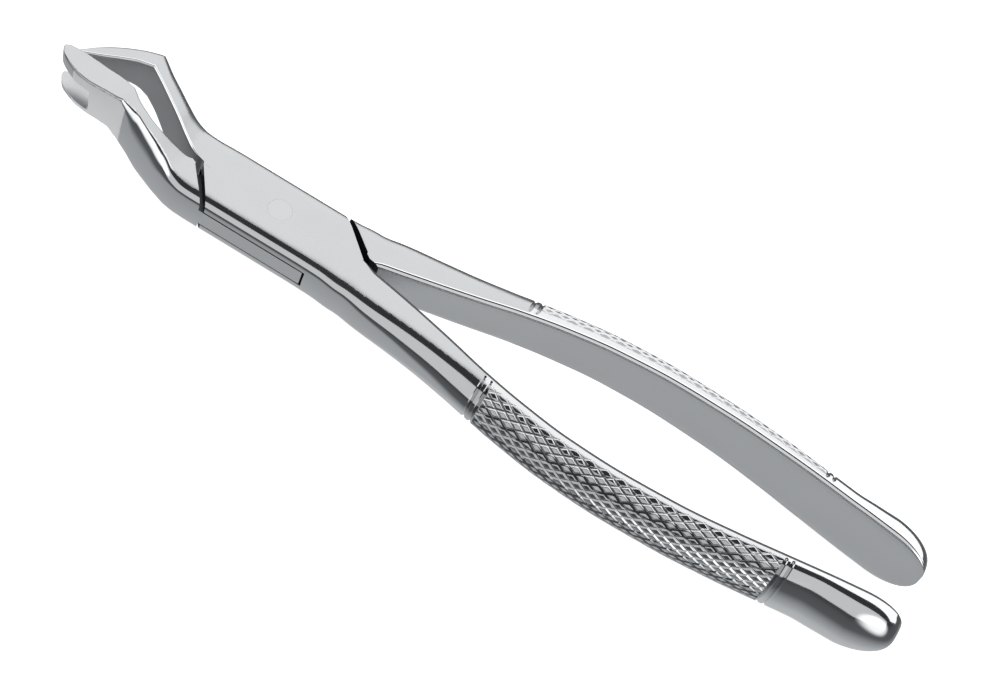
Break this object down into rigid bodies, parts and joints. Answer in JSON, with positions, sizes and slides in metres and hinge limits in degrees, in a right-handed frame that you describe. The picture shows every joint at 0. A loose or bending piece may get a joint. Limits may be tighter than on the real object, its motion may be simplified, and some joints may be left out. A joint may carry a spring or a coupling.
{
  "type": "dental extraction forceps",
  "caption": "Box-jointed tooth extraction forceps with a pointed beak facing a forked beak, both raised above the joint, and bowed handles with knurled grips.",
  "frame": {"origin": "on the pivot axis at the underside of the box joint", "axes": "+X from the pivot to the beaks, along the instrument; +Y towards the box arm's handle; +Z along the pivot, up towards the side the beaks are raised to"},
  "size_m": [0.1768, 0.0352, 0.0226],
  "materials": {
    "steel": "satin to bright polished stainless steel"
  },
  "bodies": {
    "box_side": {"box_arm": "steel", "rivet_pin": "steel"},
    "male_side": {"male_arm": "steel"}
  },
  "joints": [
    {"name": "pivot", "type": "hinge", "parent": "box_side", "child": "male_side", "pos_m": [0, 0, 0.0041], "axis": [0, 0, 1], "range_deg": [-2.5, 20]}
  ]
}
